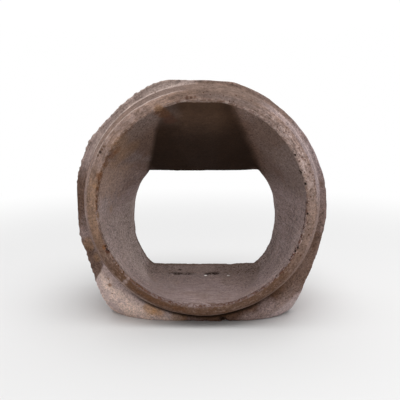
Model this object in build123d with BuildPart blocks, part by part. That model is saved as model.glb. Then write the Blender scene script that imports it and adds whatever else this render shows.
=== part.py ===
"""Gully shaft cone: one cast concrete piece, round at the spigot end and flat sided at the seat end.

It lies on its flat foot side, as stacked and sold. The ring axis runs along +Y from the spigot face to
the seat that carries the grate frame. X = 0 is the plane of symmetry and Z = 0 is the floor.
"""
from build123d import *
import os

# Driving dimensions, in millimetres
bore_diameter = 450
body_wall = 52
overall_length = 295
axis_height = 280
foot_width = 442
foot_edge_round = 8

# Spigot that stands in the shaft ring below: a tapered lead-in, then a straight band up to the shoulder
spigot_length = 40
spigot_taper_length = 26
spigot_tip_wall = 21
spigot_band_wall = 34
spigot_tip_chamfer = 3
spigot_root_fillet = 4

# Shoulder that flares from the round body to the corners of the foot
flare_length = 68
flare_arc_radius = 110

# Crown, the side opposite the foot
crown_rise = 268
crown_land = 25
crown_slope_run = 165
seat_top_wall = 50
crown_edge_round = 8

# Flow space through the cone
opening_width = 388
opening_top_rise = 52
opening_floor_drop = 219
collar_length = 85
mouth_ceiling_rise = 223
mouth_floor_drop = 223

overrun = 10

# Sizes and places worked out from these
bore_radius = bore_diameter / 2
body_radius = bore_radius + body_wall
spigot_tip_radius = bore_radius + spigot_tip_wall
spigot_band_radius = bore_radius + spigot_band_wall
corner_radius = ((foot_width / 2) ** 2 + axis_height**2) ** 0.5
flare_end_depth = spigot_length + flare_length
slope_start_depth = spigot_length + crown_land
slope_end_depth = slope_start_depth + crown_slope_run
collar_start_depth = overall_length - collar_length
opening_radius = opening_width / 2
opening_center_rise = (opening_top_rise - opening_floor_drop) / 2
seat_top_rise = opening_top_rise + seat_top_wall

spigot_face_y = -overall_length / 2
ring_axis = Axis((0, 0, axis_height), (0, 1, 0))

# Side view: local x is the depth behind the spigot face, local y the height above the ring axis
side_view = Plane(origin=(0, spigot_face_y, axis_height), x_dir=(0, 1, 0), z_dir=(1, 0, 0))


def end_view(depth):
    """Plane across the ring axis at a depth behind the spigot face; its normal points out of the spigot."""
    return Plane(origin=(0, spigot_face_y + depth, axis_height), x_dir=(1, 0, 0), z_dir=(0, -1, 0))


# Flow space: an oblique cone from the round mouth down to the collar behind the seat, cut flat above
# and below, where the ceiling slants and the floor stays nearly level
with BuildPart() as flow_space:
    with BuildSketch(end_view(0)):
        Circle(bore_radius)
    with BuildSketch(end_view(collar_start_depth)):
        with Locations((0, opening_center_rise)):
            Circle(opening_radius)
    loft()
    with BuildSketch(end_view(0)):
        Circle(bore_radius)
    extrude(amount=overrun)
    with BuildSketch(end_view(collar_start_depth)):
        with Locations((0, opening_center_rise)):
            Circle(opening_radius)
    extrude(amount=-(collar_length + overrun))
    with BuildSketch(side_view):
        with BuildLine():
            Polyline(
                (-overrun, mouth_ceiling_rise),
                (0, mouth_ceiling_rise),
                (collar_start_depth, opening_top_rise),
                (overall_length + overrun, opening_top_rise),
                (overall_length + overrun, -opening_floor_drop),
                (collar_start_depth, -opening_floor_drop),
                (0, -mouth_floor_drop),
                (-overrun, -mouth_floor_drop),
                close=True,
            )
        make_face()
    extrude(amount=body_radius, both=True, mode=Mode.INTERSECT)

with BuildPart() as gully_cone:
    # End view: the round body and the flat foot, joined by straight tangent sides
    with BuildSketch(end_view(0)):
        with BuildLine():
            CenterArc((0, 0), body_radius, 0, 360)
            Line((-foot_width / 2, -axis_height), (foot_width / 2, -axis_height))
        make_hull()
    extrude(amount=-overall_length)

    # Side view: level foot, crown land, slanted crown and the seat's top edge
    with BuildSketch(side_view):
        with BuildLine():
            Polyline(
                (0, -axis_height),
                (overall_length, -axis_height),
                (overall_length, seat_top_rise),
                (slope_end_depth, seat_top_rise),
                (slope_start_depth, crown_rise),
                (0, crown_rise),
                close=True,
            )
        make_face()
    extrude(amount=corner_radius, both=True, mode=Mode.INTERSECT)
    foot_edges = gully_cone.faces().sort_by(Axis.Z)[0].edges().filter_by(Axis.Y)
    fillet(foot_edges, radius=foot_edge_round)
    crown_faces = gully_cone.faces().filter_by(GeomType.PLANE).filter_by(lambda face: face.normal_at().Z > 0.1)
    fillet(crown_faces.edges(), radius=crown_edge_round)

    # Turned form: tapered spigot, shoulder and the flare out to the foot's corners
    with BuildSketch(side_view) as turned_profile:
        with BuildLine():
            spigot_line = Polyline(
                (0, 0),
                (0, spigot_tip_radius),
                (spigot_taper_length, spigot_band_radius),
                (spigot_length, spigot_band_radius),
                (spigot_length, body_radius),
            )
            flare = RadiusArc(spigot_line @ 1, (flare_end_depth, corner_radius), flare_arc_radius)
            Polyline(flare @ 1, (overall_length, corner_radius), (overall_length, 0), (0, 0))
        make_face()
        tip_corner = turned_profile.vertices().group_by(Axis.X)[0].sort_by(Axis.Y)[-1]
        chamfer(tip_corner, length=spigot_tip_chamfer)
        shoulder_corners = turned_profile.vertices().filter_by_position(
            Axis.X, spigot_length - spigot_root_fillet, spigot_length + spigot_root_fillet
        )
        fillet(shoulder_corners.sort_by(Axis.Y)[0], radius=spigot_root_fillet)
    revolve(axis=ring_axis, mode=Mode.INTERSECT)

    add(flow_space.part, mode=Mode.SUBTRACT)

gully_cone.part.label = "cone_body"

os.makedirs("parts", exist_ok=True)
export_step(gully_cone.part, "parts/cone_body.step")
print("volume in litres:", round(gully_cone.part.volume / 1e6, 2))
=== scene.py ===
import math

import bmesh
import bpy
from mathutils import Matrix, Vector, kdtree, noise


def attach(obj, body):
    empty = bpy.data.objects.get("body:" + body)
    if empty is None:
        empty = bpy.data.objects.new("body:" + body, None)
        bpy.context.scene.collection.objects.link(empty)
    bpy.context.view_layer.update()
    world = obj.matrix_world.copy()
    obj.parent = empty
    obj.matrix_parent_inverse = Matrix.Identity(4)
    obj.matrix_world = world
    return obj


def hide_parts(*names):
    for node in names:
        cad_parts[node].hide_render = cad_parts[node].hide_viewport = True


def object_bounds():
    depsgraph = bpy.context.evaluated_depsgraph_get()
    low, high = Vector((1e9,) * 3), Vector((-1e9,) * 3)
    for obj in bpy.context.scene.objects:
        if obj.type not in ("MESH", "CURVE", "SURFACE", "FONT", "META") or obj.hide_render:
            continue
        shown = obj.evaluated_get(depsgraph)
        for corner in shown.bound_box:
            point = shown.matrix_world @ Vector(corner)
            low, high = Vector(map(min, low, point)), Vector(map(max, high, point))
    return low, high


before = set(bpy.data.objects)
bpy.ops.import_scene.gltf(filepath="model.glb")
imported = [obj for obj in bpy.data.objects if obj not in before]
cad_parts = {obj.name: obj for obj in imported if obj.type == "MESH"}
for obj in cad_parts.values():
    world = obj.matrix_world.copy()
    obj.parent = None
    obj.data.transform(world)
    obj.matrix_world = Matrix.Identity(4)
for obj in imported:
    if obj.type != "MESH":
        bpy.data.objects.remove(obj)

CAD_LOW, CAD_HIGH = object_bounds()

# Main places of the cone, in metres: the spigot's face, the ring axis, the bore's mouth, the slanted
# ceiling (its rise over the axis at the mouth, and its fall) and the front of the shoulder
FACE_Y = -0.1475
RING_RISE = 0.280
MOUTH_RADIUS = 0.2255
CEILING_RISE = 0.223
CEILING_FALL = 0.171 / 0.210
SHOULDER_FRONT = (0.034, 0.038)

# Camera
CAMERA_PLACE = (0.026, -1.1975, 0.494)
CAMERA_TURN = math.radians(1.55)
CAMERA_NOD = math.radians(90 - 10.7)
CAMERA_ROLL = math.radians(-0.23)
FOCAL_LENGTH = 45.05
SENSOR_WIDTH = 36.0

# The mesh: edge length of the first even skin, the share of its triangles that is kept, the reach
# within which the solid's loose corners are welded, and how far the skin is eased once
SKIN_STEP = 0.0025
KEPT_SHARE = 0.44
WELD_REACH = 1e-5
EASING = 0.5

# Wear in metres: slow waves and fine roughness all over, then even wear, chips and crumbs at the
# arrises, and the burrs that stand up at the left ones
WAVES = 0.0010
ROUGHNESS = 0.0004
RUBBED = 0.0006
CHIPPED = 0.0014
CRUMBLED = 0.0010
BURRED = 0.0042

# Where the outline's unevenness sets in and fades: radii, and depths behind the spigot face
RACKED_RADII = (0.262, 0.274)
RACKED_DEPTHS = (0.030, 0.040)
RACK_FADES = (0.12, 0.24)
OPENING_DEPTHS = (0.16, 0.25)

# Holes: the reach of the dent and of the dirt round it, in radii of the hole
HOLE_RIM = 1.3
FAR_FROM_HOLES = 3.0

# Distance from the ring axis within which a wall that faces it belongs to the bore
WIDEST_WALL = 0.262

# Light
FRONT_SKY = 0.38
BACK_SKY = 1.10
TOP_SKY = 0.85
FRONT_HORIZON = 0.80
OVERHEAD_POWER = 35
OVERHEAD_SIZE = 1.8
OVERHEAD_PLACE = (0.3, -0.6, 2.4)
OVERHEAD_AIM = (0.0, 0.0, 0.25)
FLOOR_COLOUR = (0.74, 0.74, 0.74)
FLOOR_HALF = 12.0
NEAR_FLOOR = 0.55
FAR_FLOOR = 1.9

# The concrete's sheen, and the strength and depth of its fine bumps
SHEEN = 0.05
BUMP_STRENGTH = 0.8
BUMP_DEPTH = 0.0030

# Colours of the concrete
MAUVE = (0.36, 0.271, 0.261)
MAUVE_DARK = (0.29, 0.217, 0.209)
PALE = (0.50, 0.40, 0.36)
BROWN = (0.16, 0.105, 0.08)
CREAM = (0.51, 0.39, 0.36)
ROSE = (0.50, 0.395, 0.385)
UMBER = (0.17, 0.122, 0.105)
GREY = (0.35, 0.285, 0.295)
TAN = (0.36, 0.245, 0.195)
TAN_DARK = (0.25, 0.165, 0.13)
OCHRE = (0.29, 0.165, 0.09)
RUST = (0.19, 0.08, 0.035)
RUST_BROWN = (0.11, 0.048, 0.022)
RUST_DARK = (0.085, 0.035, 0.022)
# The dirt, damp and soot colours below also serve as painted shade, on the ceiling, beside it and under the
# spigot, and the black and the root colour as the painted shadow under the spigot
DIRT_AND_SHADE = (0.100, 0.052, 0.031)
DAMP_SHADE = (0.092, 0.049, 0.028)
SOOT_AND_SHADE = (0.025, 0.0138, 0.0088)
BLACK = (0.012, 0.006, 0.003)
ROOT_SHADE = (0.060, 0.024, 0.009)
PORE = (0.055, 0.032, 0.024)
ORANGE = (0.46, 0.235, 0.085)
CLEAN = (0.70, 0.53, 0.455)
CLEAN_GREY = (0.54, 0.415, 0.38)
WHITE = (0.95, 0.92, 0.90)

# Blotches, in millimetres: across, depth behind the spigot face, rise over the ring axis and reach;
# then the strength and the colour
STAINS = (
    (-171, 16, 136, 34, 0.45, OCHRE), (-164, 59, 117, 38, 0.35, OCHRE), (-183, 41, 101, 34, 0.35, OCHRE),
    (-86, 8, 203, 18, 0.75, RUST_BROWN), (-78, 26, 195, 20, 0.70, RUST_BROWN),
    (-70, 46, 184, 20, 0.5, RUST_DARK), (-214, 3, 67, 13, 0.65, RUST),
    (-203, 9, 90, 12, 0.5, RUST), (-189, 16, 110, 14, 0.5, RUST),
    (-179, 22, 121, 14, 0.4, RUST), (-227, 1, 46, 10, 0.5, OCHRE), (-222, 6, -20, 10, 0.5, OCHRE),
    (-211, 85, -22, 16, 0.4, OCHRE), (-253, 40, -91, 20, 0.50, OCHRE), (-237, 41, -125, 16, 0.5, OCHRE),
    (-211, 1, -90, 7, 0.8, RUST), (-205, 1, -99, 7, 0.9, RUST_DARK), (-212, 42, -192, 6, 0.7, RUST),
    (-215, 42, -176, 4, 0.5, RUST), (-119, 40, -249, 22, 0.55, ORANGE), (-101, 42, -257, 20, 0.55, ORANGE),
    (-54, 40, -268, 24, 0.6, OCHRE), (150, 40, -245, 30, 0.4, MAUVE), (110, 44, -276, 30, 0.30, MAUVE),
    (-150, 25, 150, 40, 0.3, BROWN), (-193, 192, -52, 4, 0.8, PALE),
    (-79, 191, -219, 4, 0.9, PALE), (6.5, 190, -219, 5, 1.0, WHITE), (65, 189, -219, 5, 1.0, WHITE),
    (-63, 237, -219, 9, 0.8, SOOT_AND_SHADE), (-204, 0, 130, 4, 0.7, DIRT_AND_SHADE), (-209, 0, 124, 4, 0.8, DIRT_AND_SHADE),
    (-213, 0, 118, 4.5, 0.9, SOOT_AND_SHADE), (-218, 1, 111, 4, 0.8, DIRT_AND_SHADE), (-88, 0, 209, 14, 0.5, OCHRE),
    (49, 41, -273, 8, 0.9, BLACK), (-162, 1, -162, 7, 0.35, CREAM), (-168, 1, -168, 8, 0.35, CREAM),
    (-174, 3, -174, 7, 0.3, CREAM), (-28, 0, 229.5, 5, 0.7, RUST_DARK), (-20, 0, 230, 4.5, 0.8, RUST_DARK),
    (-12, 0, 231, 4, 0.6, RUST_DARK),
)

# Darker stretches of the bore's walls: middle, reach and softness in degrees round the ring axis, the
# depths between which the darkening sets in, and its strength. The first is painted shade on the right
# wall beside the ceiling; the others are dirt.
WALL_DIRT_AND_SHADE = (
    (31, 12, 12, 0.07, 0.13, 0.45),
    (50, 8, 8, 0.11, 0.07, 0.35),
    (131, 9, 9, 0.00, 0.08, 0.55),
    (162, 8, 8, 0.09, 0.15, 0.38),
)

# How far the outline stands off the true form, in millimetres, by the angle round the ring axis in
# degrees: the form was racked a little, so the upper right and the lower right corner lie lower and
# the left stands proud
OUTLINE_OFFSETS = (
    (0, 0.0), (10, -1.6), (20, -4.8), (30, -6.2), (40, -7.6), (50, -8.0), (60, -7.0), (70, -6.8),
    (80, -4.4), (90, -1.8), (100, 0.0), (110, 2.6), (120, 0.4), (130, -2.0), (140, -1.2), (150, 4.0),
    (160, 3.2), (170, 3.4), (180, 6.0), (190, 5.6), (197, 8.0), (205, 4.6), (212, 4.4), (220, 3.4),
    (230, 1.8), (240, 1.5), (260, 0.0), (290, 0.0), (300, -1.0), (310, -8.0), (320, -4.6), (330, 0.4),
    (340, 2.8), (350, 3.2), (360, 1.0),
)

# The same for the opening in the seat, round its own middle
OPENING_RISE = -0.0835
OPENING_OFFSETS = (
    (0, -1.0), (10, -1.2), (20, 2.2), (32, 1.8), (40, 1.2), (47, 3.4), (55, 0.4), (75, -0.2), (95, -1.8),
    (103, -2.0), (115, -2.0), (125, 0.0), (135, 1.0), (142, -2.2), (150, -0.6), (160, -2.0), (175, -3.8),
    (185, -3.0), (190, -2.0), (195, 1.0), (210, 1.2), (217, 2.6), (225, 0.0), (235, 0.2), (252, 2.0),
    (265, 1.0), (280, 0.6), (298, 2.2), (305, 0.0), (313, -2.4), (322, 1.0), (327, 2.4), (340, 1.8),
    (348, -1.4), (360, -1.0),
)

# Holes left by air and lost grains, in millimetres: across, depth behind the spigot face, rise over
# the ring axis, radius and how deep
ARRIS_HOLES = (
    (195.7, 1, 110.3, 4.0, 4.0), (209.0, 8, 74.2, 4.5, 5.0), (219.5, 2, 50.1, 3.5, 3.5),
    (224.4, 2, 8.9, 4.0, 4.0), (226.0, 1, -14.7, 3.5, 3.5), (220.2, 10, -34.9, 3.5, 3.0),
    (214.0, 1, -70.9, 3.0, 3.0), (207.1, 2, -90.0, 4.5, 4.5), (203.0, 4, -98.5, 4.5, 4.5),
    (192.2, 9, -118.0, 4.5, 5.0), (164.7, 9, -154.9, 4.0, 4.0), (-204.3, 2, -94.0, 5.0, 6.0),
    (-208.0, 1, -88.0, 3.5, 4.0), (46.4, 40, -271.5, 5.0, 6.0), (53.0, 42, -276.5, 7.0, 9.0),
)
WALL_PORES = (
    (198.3, 95.9, 30.5, 2.6, 2.0), (205.1, 92.2, 12.4, 2.2, 2.0), (190.5, 161.3, -2.3, 2.4, 2.0),
    (151.2, 172.4, 61.6, 2.6, 2.0), (176.6, 146.7, 41.8, 2.4, 2.0), (210.0, 88.4, -15.1, 2.2, 1.6),
    (195.0, 193.3, -64.6, 2.6, 2.0), (198.4, 178.4, -78.0, 2.8, 2.2), (198.9, 89.5, -105.0, 2.4, 2.0),
    (177.4, 219.4, -161.9, 3.2, 2.4), (178.8, 166.0, -156.5, 2.6, 2.0), (155.0, 102.0, -182.0, 2.4, 2.0),
    (-194.3, 202.7, -68.8, 2.8, 2.2), (-193.0, 224.9, -102.1, 2.6, 2.0), (-66.3, 239.1, -219.0, 3.4, 2.6),
)
CREASE_PORES = (
    (-88.0, 204.0, -219.2, 2.6, 2.0), (-72.0, 203.0, -219.2, 3.0, 2.4), (-64.0, 202.0, -219.2, 3.4, 2.6),
    (-56.0, 203.0, -219.2, 3.0, 2.4), (-46.0, 203.5, -219.2, 3.4, 2.6), (-37.0, 203.0, -219.2, 3.0, 2.4),
    (4.0, 204.0, -219.2, 3.4, 2.8), (11.0, 203.5, -219.2, 3.8, 3.0), (18.0, 204.5, -219.2, 3.2, 2.6),
    (25.0, 204.0, -219.2, 3.8, 3.0), (33.0, 203.5, -219.2, 4.0, 3.0), (39.0, 204.5, -219.2, 2.8, 2.2),
)


def smooth_step(low, high, value):
    """0 below low, 1 above high and a soft rise between; low may be the larger."""
    share = max(0.0, min(1.0, (value - low) / (high - low)))
    return share * share * (3 - 2 * share)


def offset_at(table, angle):
    """Offset in metres at an angle in degrees, out of a table of angles and millimetres."""
    for (start, low), (end, high) in zip(table, table[1:]):
        if angle <= end:
            share = smooth_step(start, end, angle)
            return (low + (high - low) * share) / 1000
    return 0.0


# Camera, floor and lights


def stand_camera():
    """A camera in front of the spigot and a little above it, looking down into the bore."""
    lens = bpy.data.cameras.new("camera")
    lens.lens = FOCAL_LENGTH
    lens.sensor_width = SENSOR_WIDTH
    camera = bpy.data.objects.new("camera", lens)
    turn = Matrix.Rotation(CAMERA_TURN, 4, "Z")
    nod = Matrix.Rotation(CAMERA_NOD, 4, "X")
    roll = Matrix.Rotation(CAMERA_ROLL, 4, "Z")
    camera.matrix_world = Matrix.Translation(CAMERA_PLACE) @ turn @ nod @ roll
    bpy.context.scene.collection.objects.link(camera)
    bpy.context.scene.camera = camera


def horizon(paint, place):
    """White behind the object and pale grey in front of it, alike on the low sky and the far floor."""
    flat = paint.node("ShaderNodeVectorMath", {"operation": "MULTIPLY"}, {0: place, 1: (1, 1, 0)})
    toward = paint.node("ShaderNodeVectorMath", {"operation": "NORMALIZE"}, {0: flat})
    return paint.mean(paint.band(paint.apart(toward)[1], -0.5, 0.5), FRONT_HORIZON, 1.0)


def lay_floor():
    """A plain pale floor that takes the shadow nearby and runs out into the low sky."""
    sheet = bmesh.new()
    bmesh.ops.create_grid(sheet, x_segments=1, y_segments=1, size=FLOOR_HALF)
    mesh = bpy.data.meshes.new("floor")
    sheet.to_mesh(mesh)
    sheet.free()
    floor = bpy.data.objects.new("floor", mesh)
    bpy.context.scene.collection.objects.link(floor)
    matt, shader = new_material("floor_paint")
    paint = Paint(matt.node_tree)
    place = paint.node("ShaderNodeTexCoord", {}, {}, "Object")
    away = paint.node("ShaderNodeVectorMath", {"operation": "LENGTH"}, {0: place}, "Value")
    far = paint.band(away, NEAR_FLOOR, FAR_FLOOR)
    paint.feed(shader.inputs["Base Color"], paint.blend(far, FLOOR_COLOUR, (0, 0, 0)))
    glow = paint.blend(far * horizon(paint, place), (0, 0, 0), (1, 1, 1))
    paint.feed(shader.inputs["Emission Color"], glow)
    shader.inputs["Emission Strength"].default_value = 1.0
    shader.inputs["Roughness"].default_value = 1.0
    shader.inputs["Specular IOR Level"].default_value = 0.0
    mesh.materials.append(matt)


def hang_light():
    """A square soft box overhead."""
    box = bpy.data.lights.new("overhead", "AREA")
    box.size = OVERHEAD_SIZE
    box.energy = OVERHEAD_POWER
    light = bpy.data.objects.new("overhead", box)
    light.location = OVERHEAD_PLACE
    light.rotation_mode = "QUATERNION"
    light.rotation_quaternion = (Vector(OVERHEAD_AIM) - Vector(OVERHEAD_PLACE)).to_track_quat("-Z", "Y")
    bpy.context.scene.collection.objects.link(light)


def light_studio():
    """Soft daylight: bright behind the object and overhead, dimmer in front of it."""
    world = bpy.data.worlds.new("studio")
    world.use_nodes = True
    sky = Paint(world.node_tree)
    place = sky.node("ShaderNodeTexCoord", {}, {}, "Generated")
    apart = sky.apart(place)
    strength = FRONT_SKY + (BACK_SKY - FRONT_SKY) * sky.band(apart[1], -0.1, 0.75)
    strength = sky.mean(sky.band(apart[2], 0.35, 0.8), strength, TOP_SKY)
    strength = sky.mean(sky.band(apart[2], 0.34, 0.12), strength, horizon(sky, place))
    glow = world.node_tree.nodes["Background"]
    glow.inputs["Color"].default_value = (1, 1, 1, 1)
    sky.feed(glow.inputs["Strength"], strength)
    bpy.context.scene.world = world
    bpy.context.scene.view_settings.view_transform = "Standard"
    hang_light()


# Materials


class Reading:
    """The output of a shader node, for use in plain arithmetic."""

    def __init__(self, paint, socket):
        self.paint = paint
        self.socket = socket

    def __add__(self, other):
        return self.paint.worked("ADD", self, other)

    def __sub__(self, other):
        return self.paint.worked("SUBTRACT", self, other)

    def __rsub__(self, other):
        return self.paint.worked("SUBTRACT", other, self)

    def __mul__(self, other):
        return self.paint.worked("MULTIPLY", self, other)

    __radd__ = __add__
    __rmul__ = __mul__


class Paint:
    """The nodes of a material or of the sky, under construction."""

    def __init__(self, tree):
        self.tree = tree

    def feed(self, socket, value):
        """Link a reading to a socket, or set a plain value on it."""
        if isinstance(value, Reading):
            self.tree.links.new(value.socket, socket)
        elif isinstance(value, tuple) and len(value) == 3 and socket.type == "RGBA":
            socket.default_value = (*value, 1.0)
        else:
            socket.default_value = value

    def node(self, kind, settings=None, inputs=None, output=0):
        """Any node: its settings first, then the values or links of its sockets."""
        made = self.tree.nodes.new(kind)
        for key, value in (settings or {}).items():
            setattr(made, key, value)
        for key, value in (inputs or {}).items():
            self.feed(made.inputs[key], value)
        return Reading(self, made.outputs[output])

    def worked(self, operation, first, second=0.0):
        """One Math node."""
        return self.node("ShaderNodeMath", {"operation": operation}, {0: first, 1: second})

    def attribute(self, name):
        """A number stored on the mesh."""
        return self.node("ShaderNodeAttribute", {"attribute_name": name}, {}, "Fac")

    def blend(self, share, under, over):
        """One colour laid over another."""
        settings = {"data_type": "RGBA", "blend_type": "MIX"}
        return self.node("ShaderNodeMix", settings, {0: share, 6: under, 7: over}, 2)

    def mean(self, share, under, over):
        """A number between two others."""
        return self.node("ShaderNodeMix", {"data_type": "FLOAT"}, {0: share, 2: under, 3: over})

    def apart(self, vector):
        """The three numbers of a vector."""
        split = self.node("ShaderNodeSeparateXYZ", {}, {0: vector}).socket.node
        return [Reading(self, split.outputs[i]) for i in range(3)]

    def band(self, value, low, high):
        """0 at low and 1 at high, with soft ends; low may be the larger."""
        # A smooth step keeps between its two ends by itself, and a clamp would add a node to each
        settings = {"interpolation_type": "SMOOTHSTEP", "clamp": False}
        if low <= high:
            return self.node("ShaderNodeMapRange", settings, {0: value, 1: low, 2: high, 3: 0.0, 4: 1.0})
        return self.node("ShaderNodeMapRange", settings, {0: value, 1: high, 2: low, 3: 1.0, 4: 0.0})

    def ridge(self, value, middle, reach):
        """1 at the middle and 0 at its reach on either side."""
        away = self.worked("ABSOLUTE", value - middle)
        return self.band(away, reach, reach * 0.35)

    def tinted(self, colour, tone):
        """A colour made lighter or darker by a factor."""
        return self.node("ShaderNodeVectorMath", {"operation": "SCALE"}, {0: colour, "Scale": tone})

    def cells(self, place, scale):
        """Distance to the nearest of many scattered points, and a number of its own for each."""
        made = self.node("ShaderNodeTexVoronoi", {}, {"Vector": place, "Scale": scale}, "Distance")
        lot = self.apart(Reading(self, made.socket.node.outputs["Color"]))[0]
        return made, lot

    def grain(self, place, scale, detail, roughness):
        """Cloudy noise from 0 to 1."""
        inputs = {"Vector": place, "Scale": scale, "Detail": detail, "Roughness": roughness}
        return self.node("ShaderNodeTexNoise", {}, inputs, "Fac")


def new_material(name):
    """A fresh material and its shader."""
    material = bpy.data.materials.new(name)
    material.use_nodes = True
    return material, material.node_tree.nodes["Principled BSDF"]


class Coat:
    """The concrete's colour, laid down layer over layer, with the readings that its masks need."""

    def __init__(self, tree):
        paint = self.paint = Paint(tree)
        place = paint.node("ShaderNodeTexCoord", {}, {}, "Object")
        shift = (0.0, -FACE_Y, -RING_RISE)
        self.place = paint.node("ShaderNodeMapping", {}, {"Vector": place, "Location": shift})
        self.take_bearings()
        # Clouds the size of a hand, a coin, a gravel stone, a grain of grit and a grain of sand, on
        # axes askew to the part's own, so that no flat face cuts a cloud square
        askew = {"Vector": self.place, "Rotation": (0.61, 0.37, 0.83)}
        self.askew = paint.node("ShaderNodeMapping", {}, askew)
        self.cloud = paint.grain(self.askew, 7.0, 4.0, 0.55)
        self.patchy = paint.grain(self.askew, 24.0, 4.0, 0.62)
        self.gravel = paint.grain(self.askew, 90.0, 3.0, 0.6)
        self.grit = paint.grain(self.askew, 210.0, 2.0, 0.6)
        self.sand = paint.grain(self.askew, 420.0, 2.0, 0.6)
        self.wander = (self.patchy - 0.5) * 0.030 + (self.gravel - 0.5) * 0.010
        # Streaks, chips and fine lines that run round the ring, and marks drawn along the bore
        self.streak = self.turned_grain(6, 160, 3.0, 0.6)
        self.chips = self.turned_grain(22, 210, 3.0, 0.65)
        self.drawn = self.turned_grain(38, 14, 3.0, 0.6)
        self.swept = self.turned_grain(13, 400, 2.0, 0.6)
        # The masks read a place that sways with the streaks by a tenth of a millimetre. Cycles then
        # works them out layer by layer. All at once, they overfill its stack and the piece turns black.
        sway = (self.streak - 0.5) * 0.0002
        hair = paint.node("ShaderNodeCombineXYZ", {}, {0: sway, 1: sway, 2: sway})
        self.place = paint.node("ShaderNodeVectorMath", {"operation": "ADD"}, {0: self.place, 1: hair})
        self.take_bearings()
        self.inside = paint.band(paint.attribute("inside"), 0.3, 0.7)
        self.outside = 1 - self.inside
        self.hole = paint.attribute("hole")
        self.colour = MAUVE
        self.rough = 1.0

    def take_bearings(self):
        """The place's three sizes, its distance from the ring axis and its direction round it."""
        paint = self.paint
        self.across, self.depth, self.rise = paint.apart(self.place)
        spoke = paint.node("ShaderNodeCombineXYZ", {}, {0: self.across, 1: 0.0, 2: self.rise})
        self.radius = paint.node("ShaderNodeVectorMath", {"operation": "LENGTH"}, {0: spoke}, "Value")
        self.spoke = paint.node("ShaderNodeVectorMath", {"operation": "NORMALIZE"}, {0: spoke})

    def turned_grain(self, around, out, detail, roughness):
        """Noise drawn out round the ring: its scale along the ring and across it."""
        steps = {0: self.spoke, 1: (around, around, around), 2: (0.0, 0.0, 0.0)}
        flat = self.paint.node("ShaderNodeVectorMath", {"operation": "MULTIPLY_ADD"}, steps)
        deep = self.paint.node("ShaderNodeCombineXYZ", {}, {0: 0.0, 1: self.depth * out, 2: 0.0})
        place = self.paint.node("ShaderNodeVectorMath", {"operation": "ADD"}, {0: flat, 1: deep})
        inputs = {"Vector": place, "W": self.radius * out, "Scale": 1.0}
        inputs.update({"Detail": detail, "Roughness": roughness})
        return self.paint.node("ShaderNodeTexNoise", {"noise_dimensions": "4D"}, inputs, "Fac")

    def lay(self, share, colour):
        """One more layer over the colour so far."""
        self.colour = self.paint.blend(share, self.colour, colour)

    def pores(self, share, scale, size, colour):
        """Scattered round pores; size is the largest radius as a share of the points' spacing."""
        away, lot = self.paint.cells(self.askew, scale)
        self.lay(self.paint.band(away - lot * share * size, 0.06, -0.03) * 0.75, colour)

    def tint(self, where, middle, reach, soft, strength, colour):
        """One more layer over a stretch round the ring axis, inside a mask."""
        self.lay(where * self.sector(middle, reach, soft) * strength, colour)

    def sector(self, middle, reach, soft, stray=1.0):
        """Between two directions round the ring axis, in degrees, with soft and straying ends."""
        turn = math.radians(middle)
        toward = (math.cos(turn), 0.0, math.sin(turn))
        settings = {"operation": "DOT_PRODUCT"}
        closeness = self.paint.node("ShaderNodeVectorMath", settings, {0: self.spoke, 1: toward}, "Value")
        low = math.cos(math.radians(min(180.0, reach + soft)))
        high = math.cos(math.radians(reach))
        return self.paint.band(closeness + self.wander * (stray * 2.0), low, high)

    def spot(self, across, depth, rise, reach, soft=0.6, stray=1.0):
        """A blotch round a point, in millimetres off the ring axis and the spigot face."""
        centre = (across / 1000, depth / 1000, rise / 1000)
        settings = {"operation": "DISTANCE"}
        away = self.paint.node("ShaderNodeVectorMath", settings, {0: self.place, 1: centre}, "Value")
        return self.paint.band(away + self.wander * stray, reach / 1000, reach * (1 - soft) / 1000)


# In the coats below, directions are degrees round the ring axis, 0 to the right and 90 up as seen from
# the spigot. Lengths are metres, and the last number of a layer is how strongly it covers.


def coat_walls(coat):
    """Mauve grey clouded with brown on the shoulder and the walls."""
    paint = coat.paint
    coat.colour = paint.blend(paint.band(coat.cloud, 0.38, 0.62), MAUVE_DARK, MAUVE)
    coat.lay(paint.band(coat.patchy, 0.46, 0.66) * 0.35, BROWN)
    coat.lay(paint.band(coat.streak, 0.50, 0.62) * 0.28, BROWN)
    coat.lay(paint.band(coat.streak, 0.46, 0.34) * 0.22, PALE)
    coat.lay(paint.band(coat.gravel, 0.52, 0.66) * 0.25, BROWN)
    coat.lay(paint.band(coat.gravel, 0.44, 0.32) * 0.20, PALE)


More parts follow.
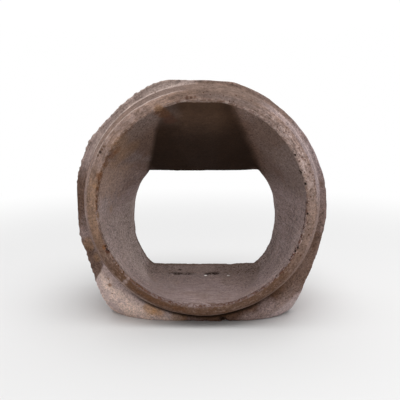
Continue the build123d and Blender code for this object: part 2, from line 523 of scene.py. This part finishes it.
def coat_bore(coat):
    """Inside: browner towards the top and on the far floor, paler on the left and low down."""
    paint = coat.paint
    walls = coat.inside * (1 - coat.sector(270, 40, 14))
    coat.lay(paint.band(coat.drawn, 0.52, 0.64) * walls * 0.28, PALE)
    coat.lay(paint.band(coat.drawn, 0.46, 0.34) * walls * 0.25, BROWN)
    top = paint.band(coat.rise + coat.wander * 2, 0.02, 0.15) * coat.inside
    coat.lay(top * 0.66, BROWN)
    low_left = coat.sector(222, 24, 16) * paint.band(coat.depth + coat.wander, 0.05, 0.14) * coat.inside
    coat.tint(coat.inside, 31, 18, 14, 0.68, UMBER)
    coat.tint(coat.inside, 136, 14, 12, 0.70, UMBER)
    left = coat.sector(192, 26, 14) * paint.band(coat.depth + coat.wander, 0.16, 0.06) * coat.inside
    coat.lay(left * 0.25, PALE)
    rusty = coat.sector(166, 7, 9) * paint.band(coat.depth + coat.wander, 0.20, 0.06) * coat.inside
    coat.lay(rusty * 0.40, OCHRE)
    floor = paint.band(coat.rise, -0.200, -0.214) * coat.inside
    coat.lay(low_left * (1 - floor * 0.7) * 0.50, PALE)
    far = paint.band(coat.depth + coat.wander * 2, 0.090, 0.200)
    low_walls = (coat.sector(225, 24, 14) + coat.sector(318, 32, 14)) * coat.inside * (1 - floor)
    coat.rough = 1 - floor * (1 - far) * 0.6 + low_walls * 0.30
    coat.lay(floor * (far * 0.30), BROWN)
    coat.lay(floor * paint.band(coat.across, 0.04, 0.11) * 0.20, BROWN)
    coat.lay(floor * paint.band(coat.depth + (coat.grit - 0.5) * 0.03, 0.205, 0.214) * 0.30, BROWN)
    right = paint.band(coat.across + coat.wander, -0.02, 0.10) * paint.band(coat.rise, -0.12, -0.19)
    coat.lay(right * coat.inside * far * 0.20, BROWN)
    # dark stretches of the walls: dirt, and painted shade on the right wall beside the ceiling
    for middle, reach, soft, start, end, strength in WALL_DIRT_AND_SHADE:
        where = coat.sector(middle, reach, soft) * coat.inside
        coat.lay(where * paint.band(coat.depth + coat.wander, start, end) * strength, DIRT_AND_SHADE)
    rim = paint.band(coat.depth + coat.wander * 0.5, 0.262, 0.290) * coat.inside
    coat.lay(rim * (0.35 + paint.band(coat.across, 0.07, -0.03) * 0.40), DIRT_AND_SHADE)
    coat.lay(paint.band(coat.depth, 0.285, 0.294) * floor * 0.65, SOOT_AND_SHADE)
    coat.lay(paint.band(coat.depth, 0.282, 0.294) * coat.sector(190, 34, 14) * coat.inside * 0.55, RUST_DARK)
    # a broken dark line across the far floor where the cone meets the seat
    crease = paint.ridge(coat.depth + (coat.gravel - 0.5) * 0.030, 0.2055, 0.0150) * floor
    crease = crease * paint.band(coat.gravel + (coat.grit - 0.5), 0.34, 0.50)
    left_part = paint.ridge(coat.across, -0.056, 0.046)
    right_part = paint.ridge(coat.across, 0.024, 0.027)
    coat.lay(crease * (left_part * 0.80 + right_part), SOOT_AND_SHADE)


def coat_ceiling(coat):
    """The slanted ceiling of the bore, dark with damp and with painted shade, darker towards the seat."""
    paint = coat.paint
    plane = CEILING_RISE - coat.depth * CEILING_FALL
    near = paint.band(plane - coat.rise + coat.wander * 0.35, 0.022, 0.003) * coat.inside
    near = near * paint.band(coat.rise, 0.030, 0.048)
    # its dark part ends a little inside the plane's own edges, on slanted lines
    left_slant = coat.across + coat.depth * 0.285 + coat.wander * 0.3
    near = near * paint.band(left_slant, -0.0900, -0.0720)
    right_slant = coat.across - coat.depth * 0.42 + coat.wander * 0.3
    near = near * paint.band(right_slant, 0.0760, 0.0460)
    # painted shade on the right wall beside the dark ceiling
    shade_beside = paint.band(right_slant, 0.1000, 0.0500) * paint.band(coat.rise, 0.020, 0.060) * coat.inside
    coat.lay(shade_beside * paint.band(coat.across, 0.020, 0.050) * 0.68, DIRT_AND_SHADE)
    # painted shade: the ceiling's darkness is mostly shade painted into its colour, with some damp
    deep = paint.band(coat.depth + (coat.streak - 0.5) * 0.05, -0.01, 0.110)
    coat.lay(near * 0.97, paint.blend(deep, DAMP_SHADE, SOOT_AND_SHADE))
    middle = paint.ridge(coat.across + coat.wander, 0.000, 0.085)
    high = paint.band(coat.depth + coat.wander, 0.130, 0.060)
    coat.lay(near * high * middle * 0.10, BROWN)
    coat.lay(near * high * (1 - middle) * 0.60, SOOT_AND_SHADE)
    coat.lay(near * paint.band(coat.depth + coat.wander * 0.5, 0.050, 0.015) * (0.80 - middle * 0.35), SOOT_AND_SHADE)
    coat.lay(coat.sector(124, 14, 10) * coat.inside * paint.band(coat.depth, 0.08, 0.02) * 0.40, UMBER)
    coat.lay(coat.sector(195, 26, 14) * coat.inside * paint.band(coat.depth, 0.022, 0.006) * 0.25, BROWN)
    coat.rough = coat.rough * (1 - near * 0.6)


def coat_ring(coat):
    """The spigot: its face cream to the upper right, tan to the left and brown below, where dirt and painted
    shade lie; painted highlights on its upper edges.
    """
    paint = coat.paint
    spigot = paint.band(coat.depth + coat.wander * 0.4, 0.043, 0.036) * coat.outside
    streaky = paint.blend(paint.band(coat.streak, 0.40, 0.60), BROWN, TAN)
    coat.tint(spigot, 88, 34, 26, 0.50, streaky)
    coat.tint(spigot, 118, 48, 20, 0.65, streaky)
    coat.tint(spigot, 36, 22, 14, 0.35, GREY)
    coat.tint(spigot, 128, 18, 12, 0.45, BROWN)
    edge = coat.depth + (coat.chips - 0.5) * 0.022 + (coat.patchy - 0.5) * 0.012
    face = paint.band(edge, 0.0075, 0.0010) * coat.outside
    coat.lay(face * 0.80, paint.blend(paint.band(coat.patchy, 0.42, 0.58), TAN_DARK, TAN))
    cream = paint.band(coat.chips + (coat.patchy - 0.5) * 0.7, 0.50, 0.57)
    cream_side = coat.sector(42, 26, 22) * paint.band(coat.radius + coat.wander * 0.3, 0.2455, 0.2405)
    cream_side = cream_side * (1 - paint.ridge(coat.radius, 0.2325, 0.0050) * coat.sector(58, 9, 8) * 0.75)
    coat.lay(face * cream_side * (0.25 + cream * 0.65), CREAM)
    coat.lay(face * coat.sector(142, 26, 14) * (0.10 + cream * 0.24), ROSE)
    coat.lay(face * coat.sector(183, 15, 12) * (0.50 + cream * 0.3), OCHRE)
    coat.lay(face * coat.sector(104, 8, 8) * cream * 0.4, OCHRE)
    coat.tint(face, 352, 16, 12, 0.40, BROWN)
    coat.tint(face, 172, 10, 8, 0.30, BROWN)
    coat.lay(face * paint.band(coat.chips, 0.48, 0.36) * 0.60, BROWN)
    coat.lay(face * paint.band(coat.streak, 0.50, 0.60) * 0.30, BROWN)
    coat.lay(face * paint.band(coat.chips, 0.58, 0.68) * (0.20 + cream_side * 0.50), PALE)
    # darker below: partly dirt, partly painted shade, as the light comes from above
    below = spigot * coat.sector(266, 46, 38)
    coat.lay(below * (0.74 + paint.band(coat.patchy, 0.40, 0.60) * 0.22), DIRT_AND_SHADE)
    coat.lay(below * face * paint.band(coat.chips, 0.54, 0.62) * 0.35, TAN)
    coat.lay(spigot * (1 - face) * coat.sector(336, 18, 12) * 0.55, TAN_DARK)
    taper = spigot * (1 - face) * coat.sector(202, 24, 12)
    coat.lay(taper * (0.20 + paint.band(coat.radius, 0.2555, 0.2505) * 0.55), TAN_DARK)
    coat.tint(face, 77, 5, 16, 0.80, UMBER)
    coat.lay(spigot * (1 - face) * coat.sector(92, 24, 18) * 0.85, UMBER)
    coat.lay(spigot * coat.sector(79, 13, 12) * paint.band(coat.radius, 0.235, 0.241) * 0.42, BROWN)
    coat.lay(face * coat.sector(48, 6, 8) * paint.band(coat.radius, 0.240, 0.234) * 0.35, UMBER)
    coat.tint(spigot, 241, 7, 9, 0.35, DIRT_AND_SHADE)
    coat.lay(spigot * coat.sector(233, 8, 8) * paint.ridge(coat.radius, 0.2495, 0.0060) * 0.25, PALE)
    coat.lay(face * coat.sector(246, 12, 8) * paint.ridge(coat.radius, 0.2370, 0.0060) * 0.5, RUST_BROWN)
    smooth = coat.sector(112, 46, 20) * coat.outside
    coat.rough = coat.rough * (1 - face * 0.2 + coat.outside * 0.1 - below * 0.25 - smooth * 0.40)
    # painted highlight: a thin pale line on the spigot's outer wall to the upper right
    coat.lay(paint.ridge(coat.depth, 0.0195, 0.0018) * coat.outside * coat.sector(32, 17, 8) * 0.75, PALE)
    upper_left = coat.sector(128, 22, 10) * coat.outside * paint.band(coat.depth, 0.046, 0.042)
    # painted highlights: thin pale lines on the upper left edges of the spigot
    coat.lay(paint.ridge(coat.depth, 0.0045, 0.0020) * upper_left * 0.6, PALE)
    coat.lay(paint.ridge(coat.radius, 0.2615, 0.0018) * upper_left * 0.8, PALE)


def coat_mouth(coat):
    """Grit and old dirt in the chips along the inner arris, brown red to the lower right."""
    paint = coat.paint
    off = coat.depth * 0.35 + paint.worked("MAXIMUM", coat.radius - MOUTH_RADIUS, 0.0)
    off = off + (coat.chips - 0.5) * 0.006 + (coat.gravel - 0.5) * 0.006 + (coat.grit - 0.5) * 0.004
    mouth = paint.band(off, 0.0054, 0.0026)
    narrow = paint.band(off, 0.0036, 0.0012)
    broken = paint.band(coat.gravel + (coat.chips - 0.5) * 0.8, 0.44, 0.56)
    shallow = paint.band(coat.depth + (coat.chips - 0.5) * 0.006, 0.0050, 0.0020)
    upper = mouth * shallow * coat.sector(60, 70, 20)
    coat.lay(upper * 0.5, TAN)
    coat.lay(upper * paint.band(coat.chips, 0.50, 0.60) * 0.7, PALE)
    coat.tint(upper, 44, 18, 10, 0.35, CREAM)
    coat.lay(upper * broken * 0.45, RUST_DARK)
    coat.lay(mouth * coat.sector(322, 34, 12) * (0.25 + broken * 0.75), RUST_DARK)
    low = coat.sector(268, 34, 16) * paint.band(coat.depth, 0.020, 0.012)
    stray = (coat.chips - 0.5) * 0.007 + (coat.gravel - 0.5) * 0.007 + (coat.grit - 0.5) * 0.005
    lip = paint.band(coat.radius + stray, 0.2310, 0.2265)
    coat.lay(lip * low * coat.outside * 0.65, MAUVE)
    coat.lay(lip * low * broken * 0.50, DIRT_AND_SHADE)
    specks = paint.ridge(coat.radius - coat.depth * 0.3 + stray * 0.3, 0.2258, 0.0044) * low
    coat.lay(specks * paint.band(coat.grit + (coat.chips - 0.5) * 0.4, 0.49, 0.56) * 0.85, RUST_DARK)
    coat.lay(narrow * coat.sector(200, 34, 12) * (0.48 + broken * 0.50), RUST_BROWN)
    coat.lay(mouth * coat.sector(150, 16, 8) * broken * 0.65, RUST_BROWN)


def coat_shoulder(coat):
    """Brown dirt and pale streaks, painted shade under the spigot, and the pale clean patch below on the
    left.
    """
    paint = coat.paint
    front = paint.band(coat.depth, *SHOULDER_FRONT) * coat.outside
    front = front * paint.band(coat.depth + coat.wander * 2.5, 0.135, 0.070)
    ragged = 0.75 + (coat.patchy - 0.5) * 2.2
    coat.lay(coat.sector(128, 26, 12) * front * (0.30 + (coat.streak - 0.5) * 1.5), PALE)
    coat.lay(coat.sector(356, 12, 12) * front * ragged * 0.6, DIRT_AND_SHADE)
    coat.lay(coat.sector(178, 9, 9) * front * (0.6 + ragged * 0.3), DIRT_AND_SHADE)
    coat.lay(coat.sector(209, 8, 6) * front * paint.band(coat.radius, 0.262, 0.274) * 0.76, DIRT_AND_SHADE)
    coat.tint(front, 106, 7, 8, 0.45, PALE)
    coat.lay(coat.sector(66, 16, 16) * front * (0.2 + ragged * 0.4), BROWN)
    coat.lay(coat.sector(80, 28, 14) * coat.outside * paint.band(coat.radius, 0.266, 0.276) * 0.35, BROWN)
    # painted shade under the spigot's overhang: the lower right of the shoulder darker towards the ring,
    # with dirt mixed in
    shade_near_ring = paint.band(coat.radius + coat.wander * 1.2, 0.300, 0.266)
    coat.tint(front, 305, 22, 16, 0.55, TAN_DARK)
    coat.lay(coat.sector(294, 16, 12) * front * shade_near_ring * 0.95, DIRT_AND_SHADE)
    coat.tint(front, 319, 5, 5, 0.35, DIRT_AND_SHADE)
    coat.lay(coat.sector(331, 9, 8) * front * ragged * 0.55, DIRT_AND_SHADE)
    coat.lay(coat.sector(296, 9, 8) * front * shade_near_ring * 0.30, RUST_DARK)
    corner = coat.sector(307, 8, 8, 0.6) * paint.band(coat.radius + coat.wander * 0.4, 0.300, 0.322)
    coat.lay(corner * coat.outside * paint.band(coat.depth, 0.20, 0.10) * 0.80, ROSE)
    # painted shade right below the ring
    coat.lay(coat.sector(272, 10, 8, 0.4) * front * 0.6, DIRT_AND_SHADE)
    # the clean patch ends on a slanted line above and on an upright one to the right
    slant = (coat.across + 0.2257) * 0.881 - (coat.rise + 0.1434) * 0.474
    clean = paint.band(slant + coat.wander * 0.3, -0.001, 0.004)
    clean = clean * paint.band(coat.across + coat.wander * 0.6, -0.0390, -0.0600) * front
    clean = clean * paint.band(coat.rise, -0.120, -0.130)
    rosy = paint.blend(paint.band(coat.patchy, 0.43, 0.57), CLEAN, CLEAN_GREY)
    rosy = paint.blend(paint.band(coat.patchy + (coat.gravel - 0.5), 0.52, 0.66) * 0.55, rosy, MAUVE)
    # painted shade on the clean patch next to the ring
    rosy = paint.blend(paint.band(coat.radius + coat.wander * 0.7, 0.292, 0.266) * 0.75, rosy, MAUVE)
    coat.lay(clean, rosy)
    coat.rough = coat.rough * (1 - clean * 0.15)


def coat_root_shadow(coat):
    """Painted shadow below the spigot's root: a thin black line and a soft brown shade that widens at the
    foot.
    """
    paint = coat.paint
    shoulder = paint.band(coat.depth, *SHOULDER_FRONT) * paint.band(coat.depth, 0.060, 0.050) * coat.outside
    shade = coat.sector(271, 8, 12, 0.5) * shoulder
    coat.lay(shade * paint.band(coat.radius + coat.wander * 0.2, 0.276, 0.268) * 0.55, ROOT_SHADE)
    # painted shadow: the black line right under the spigot's overhang
    line = coat.sector(268, 19, 28, 0.5) * shoulder * paint.band(coat.radius, 0.2735, 0.2655)
    coat.lay(line * 0.92, BLACK)


def coat_pores(coat):
    """Air holes: many on the lower walls near the seat, some in the ring's face."""
    paint = coat.paint
    low_right = coat.sector(318, 34, 14) * paint.band(coat.depth + coat.wander, 0.03, 0.10)
    low_left = coat.sector(222, 24, 14) * paint.band(coat.depth + coat.wander, 0.10, 0.20)
    far = paint.band(coat.depth, 0.185, 0.215) * coat.sector(270, 60, 20)
    coat.pores((low_right * 1.2 + low_left + far * 0.6) * coat.inside, 150.0, 0.20, PORE)
    coat.pores((low_right + low_left * 0.8 + far * 0.8) * coat.inside, 240.0, 0.34, PORE)
    face = paint.band(coat.depth, 0.012, 0.004) * coat.outside * coat.sector(20, 62, 20)
    coat.pores(face * 0.9, 130.0, 0.30, RUST_DARK)
    row = paint.ridge(coat.radius - coat.depth * 0.3, MOUTH_RADIUS, 0.0045) * coat.sector(274, 28, 8)
    coat.pores(row, 270.0, 0.42, RUST_DARK)
    skin = coat.outside * paint.band(coat.depth, *SHOULDER_FRONT)
    coat.pores(skin * 0.8, 70.0, 0.16, DIRT_AND_SHADE)


def coat_stains(coat):
    """Rust and ochre blotches."""
    for across, depth, rise, reach, strength, colour in STAINS:
        stray = min(1.2, reach / 22)
        coat.lay(coat.spot(across, depth, rise, reach, stray=stray) * strength, colour)


def coat_holes(coat):
    """The broken out holes, dark with old dirt."""
    paint = coat.paint
    coat.lay(paint.band(coat.hole + (coat.grit - 0.5) * 1.2, 1.20, 0.65) * 0.92, SOOT_AND_SHADE)


def mix_concrete():
    """Weathered concrete: mauve grey walls, an ochre rim, stains, dirt, painted shade and highlights, light
    patches and pores.
    """
    material, shader = new_material("concrete")
    coat = Coat(material.node_tree)
    layers = (
        coat_walls, coat_bore, coat_ceiling, coat_ring, coat_mouth, coat_shoulder, coat_stains, coat_root_shadow,
        coat_pores, coat_holes,
    )
    for layer in layers:
        layer(coat)
    paint = coat.paint
    tone = (coat.grit - 0.5) * 1.4 + (coat.sand - 0.5) * 1.0 + (coat.gravel - 0.5) * 0.7
    body = paint.band(coat.depth + coat.wander, 0.05, 0.10) * coat.outside
    tone = 1 + tone * coat.rough * (1 - body * 0.45) + (coat.patchy - 0.5) * 0.5
    tone = tone + (coat.swept - 0.5) * coat.outside * coat.sector(100, 66, 20) * (1 - body * 0.7) * 1.3
    paint.feed(shader.inputs["Base Color"], paint.tinted(coat.colour, paint.worked("MAXIMUM", tone, 0.25)))
    shader.inputs["Specular IOR Level"].default_value = SHEEN
    paint.feed(shader.inputs["Roughness"], 0.85 + (coat.gravel - 0.5) * 0.2)
    height = coat.gravel * 0.4 + coat.grit * 0.35 + coat.sand * 0.25
    bump = {"Strength": BUMP_STRENGTH, "Distance": BUMP_DEPTH, "Height": height}
    paint.feed(shader.inputs["Normal"], paint.node("ShaderNodeBump", {}, bump, "Normal"))
    return material


# The cast piece


def polar(point):
    """Distance from the ring axis, angle round it in degrees and depth behind the spigot face."""
    rise = point.z - RING_RISE
    return math.hypot(point.x, rise), math.degrees(math.atan2(rise, point.x)) % 360, point.y - FACE_Y


def at(across, depth, rise):
    """Point in metres from sizes in millimetres off the ring axis and the spigot face."""
    return Vector((across / 1000, FACE_Y + depth / 1000, RING_RISE + rise / 1000))


def even_skin(node):
    """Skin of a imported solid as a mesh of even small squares."""
    solid = bmesh.new()
    solid.from_mesh(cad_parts[node].data)
    bmesh.ops.remove_doubles(solid, verts=solid.verts, dist=WELD_REACH)
    mesh = bpy.data.meshes.new("blank")
    solid.to_mesh(mesh)
    solid.free()
    blank = bpy.data.objects.new("blank", mesh)
    bpy.context.scene.collection.objects.link(blank)
    net = blank.modifiers.new("net", "REMESH")
    net.mode = "VOXEL"
    net.voxel_size = SKIN_STEP
    return settle(blank)


def settle(blank):
    """Apply an object's modifiers, take the object away and return its mesh."""
    graph = bpy.context.evaluated_depsgraph_get()
    mesh = bpy.data.meshes.new_from_object(blank.evaluated_get(graph), depsgraph=graph)
    old = blank.data
    bpy.data.objects.remove(blank)
    bpy.data.meshes.remove(old)
    return mesh


def mark_arrises(skin, rounds=3):
    """How near each vertex lies to an outer arris, from 0 to 1, in a layer of the mesh."""
    arris = skin.verts.layers.float.new("arris")
    for vert in skin.verts:
        middle = sum((edge.other_vert(vert).co for edge in vert.link_edges), Vector())
        middle /= len(vert.link_edges)
        vert[arris] = max(0.0, (vert.co - middle).dot(vert.normal) / SKIN_STEP)
    for _ in range(rounds):
        spread = []
        for vert in skin.verts:
            around = [edge.other_vert(vert)[arris] for edge in vert.link_edges]
            spread.append((vert[arris] + sum(around)) / (1 + len(around)))
        for vert, value in zip(skin.verts, spread):
            vert[arris] = value
    peak = max(vert[arris] for vert in skin.verts)
    for vert in skin.verts:
        vert[arris] = min(1.0, 1.6 * vert[arris] / peak)
    return arris


def racked(point):
    """The point moved with the outline's unevenness, strongest near the shoulder."""
    radius, angle, depth = polar(point)
    share = smooth_step(*RACKED_RADII, radius) * smooth_step(*RACKED_DEPTHS, depth)
    if share == 0:
        return point
    share *= 1 - 0.7 * smooth_step(*RACK_FADES, depth)
    grown = 1 + share * offset_at(OUTLINE_OFFSETS, angle) / radius
    return Vector((point.x * grown, point.y, RING_RISE + (point.z - RING_RISE) * grown))


def opening_racked(point):
    """A point of the bore's wall moved with the unevenness of the opening in the seat."""
    share = smooth_step(*OPENING_DEPTHS, point.y - FACE_Y)
    if share == 0:
        return point
    rise = point.z - RING_RISE - OPENING_RISE
    angle = math.degrees(math.atan2(rise, point.x)) % 360
    grown = share * offset_at(OPENING_OFFSETS, angle) / math.hypot(point.x, rise)
    return Vector((point.x * (1 + grown), point.y, point.z + rise * grown))


def worn(point, arris):
    """How far a point sinks under its true surface."""
    radius, angle, depth = polar(point)
    left = smooth_step(80, 120, angle) * smooth_step(260, 220, angle)
    outer = smooth_step(0.255, 0.265, radius)
    sink = WAVES * noise.noise(point * 16)
    sink += ROUGHNESS * noise.noise(point * 70) * (0.5 + outer)
    chip = smooth_step(0.05, 0.55, noise.noise(point * 60 + Vector((3, 7, 1))))
    crumb = smooth_step(-0.1, 0.5, noise.noise(point * 170 + Vector((1, 4, 8))))
    sink += arris * (RUBBED + CHIPPED * chip + CRUMBLED * crumb)
    burr = 0.5 + 0.9 * noise.noise(point * 95 + Vector((9, 2, 5)))
    front = smooth_step(0.11, 0.07, depth)
    sink -= arris * left * outer * front * BURRED * max(0.0, burr)
    return sink


def hole_share(offset, size):
    """How far out of a ragged hole a point lies: 0 at the middle and 1 at the rim."""
    ragged = 1 + 0.45 * noise.noise((offset + Vector((size, 0, 0))) * 260)
    return offset.length * 1000 / size * ragged


def keep_in_box(vert):
    """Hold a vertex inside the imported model's box."""
    for axis in range(3):
        vert.co[axis] = min(max(vert.co[axis], CAD_LOW[axis]), CAD_HIGH[axis])


def wear_down(skin):
    """Sink the surface by its wear, most at the arrises."""
    arris = mark_arrises(skin)
    for vert in skin.verts:
        vert.co -= vert.normal * worn(vert.co, vert[arris])
    skin.normal_update()


def sink_holes(skin):
    """Press the holes and pores in, and note in a layer how near each vertex lies to one."""
    hole = skin.verts.layers.float.new("hole")
    tree = kdtree.KDTree(len(skin.verts))
    skin.verts.ensure_lookup_table()
    for vert in skin.verts:
        vert[hole] = FAR_FROM_HOLES
        tree.insert(vert.co, vert.index)
    tree.balance()
    moves = {}
    for across, deep, rise, size, sink in ARRIS_HOLES + WALL_PORES + CREASE_PORES:
        middle = at(across, deep, rise)
        for place, index, _ in tree.find_range(middle, size * FAR_FROM_HOLES / 1000):
            vert = skin.verts[index]
            share = hole_share(place - middle, size)
            vert[hole] = min(vert[hole], share)
            if share < HOLE_RIM:
                move = sink / 1000 * smooth_step(HOLE_RIM, 0.2, share)
                moves[index] = max(moves.get(index, 0.0), move)
    for index, move in moves.items():
        vert = skin.verts[index]
        vert.co -= vert.normal * move


def rack(skin):
    """Give the outline and the opening their unevenness, and note in a layer what is bore."""
    inside = skin.verts.layers.float.new("inside")
    for vert in skin.verts:
        spoke = Vector((vert.co.x, 0, vert.co.z - RING_RISE)).normalized()
        vert[inside] = smooth_step(-0.05, -0.55, vert.normal.dot(spoke))
        wall = vert[inside] > 0.3 and polar(vert.co)[0] < WIDEST_WALL
        vert.co = opening_racked(vert.co) if wall else racked(vert.co)
        keep_in_box(vert)


def thinned(skin):
    """The finished skin as a mesh with fewer triangles."""
    mesh = bpy.data.meshes.new("cast")
    skin.to_mesh(mesh)
    skin.free()
    blank = bpy.data.objects.new("cast", mesh)
    bpy.context.scene.collection.objects.link(blank)
    thin = blank.modifiers.new("thin", "DECIMATE")
    thin.ratio = KEPT_SHARE
    mesh = settle(blank)
    for vert in mesh.vertices:
        keep_in_box(vert)
    for face in mesh.polygons:
        face.use_smooth = True
    return mesh


def cast_cone():
    """The cone's cast skin in weathered concrete, in place of the plain solid."""
    blank = even_skin("cone_body")
    skin = bmesh.new()
    skin.from_mesh(blank)
    bpy.data.meshes.remove(blank)
    every_way = {"use_axis_x": True, "use_axis_y": True, "use_axis_z": True}
    bmesh.ops.smooth_vert(skin, verts=skin.verts, factor=EASING, **every_way)
    skin.normal_update()
    wear_down(skin)
    sink_holes(skin)
    rack(skin)
    mesh = thinned(skin)
    mesh.name = "cone_casting"
    casting = bpy.data.objects.new("cone_casting", mesh)
    bpy.context.scene.collection.objects.link(casting)
    mesh.materials.clear()
    mesh.materials.append(mix_concrete())
    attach(casting, "root")
    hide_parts("cone_body")


stand_camera()
lay_floor()
light_studio()
cast_cone()
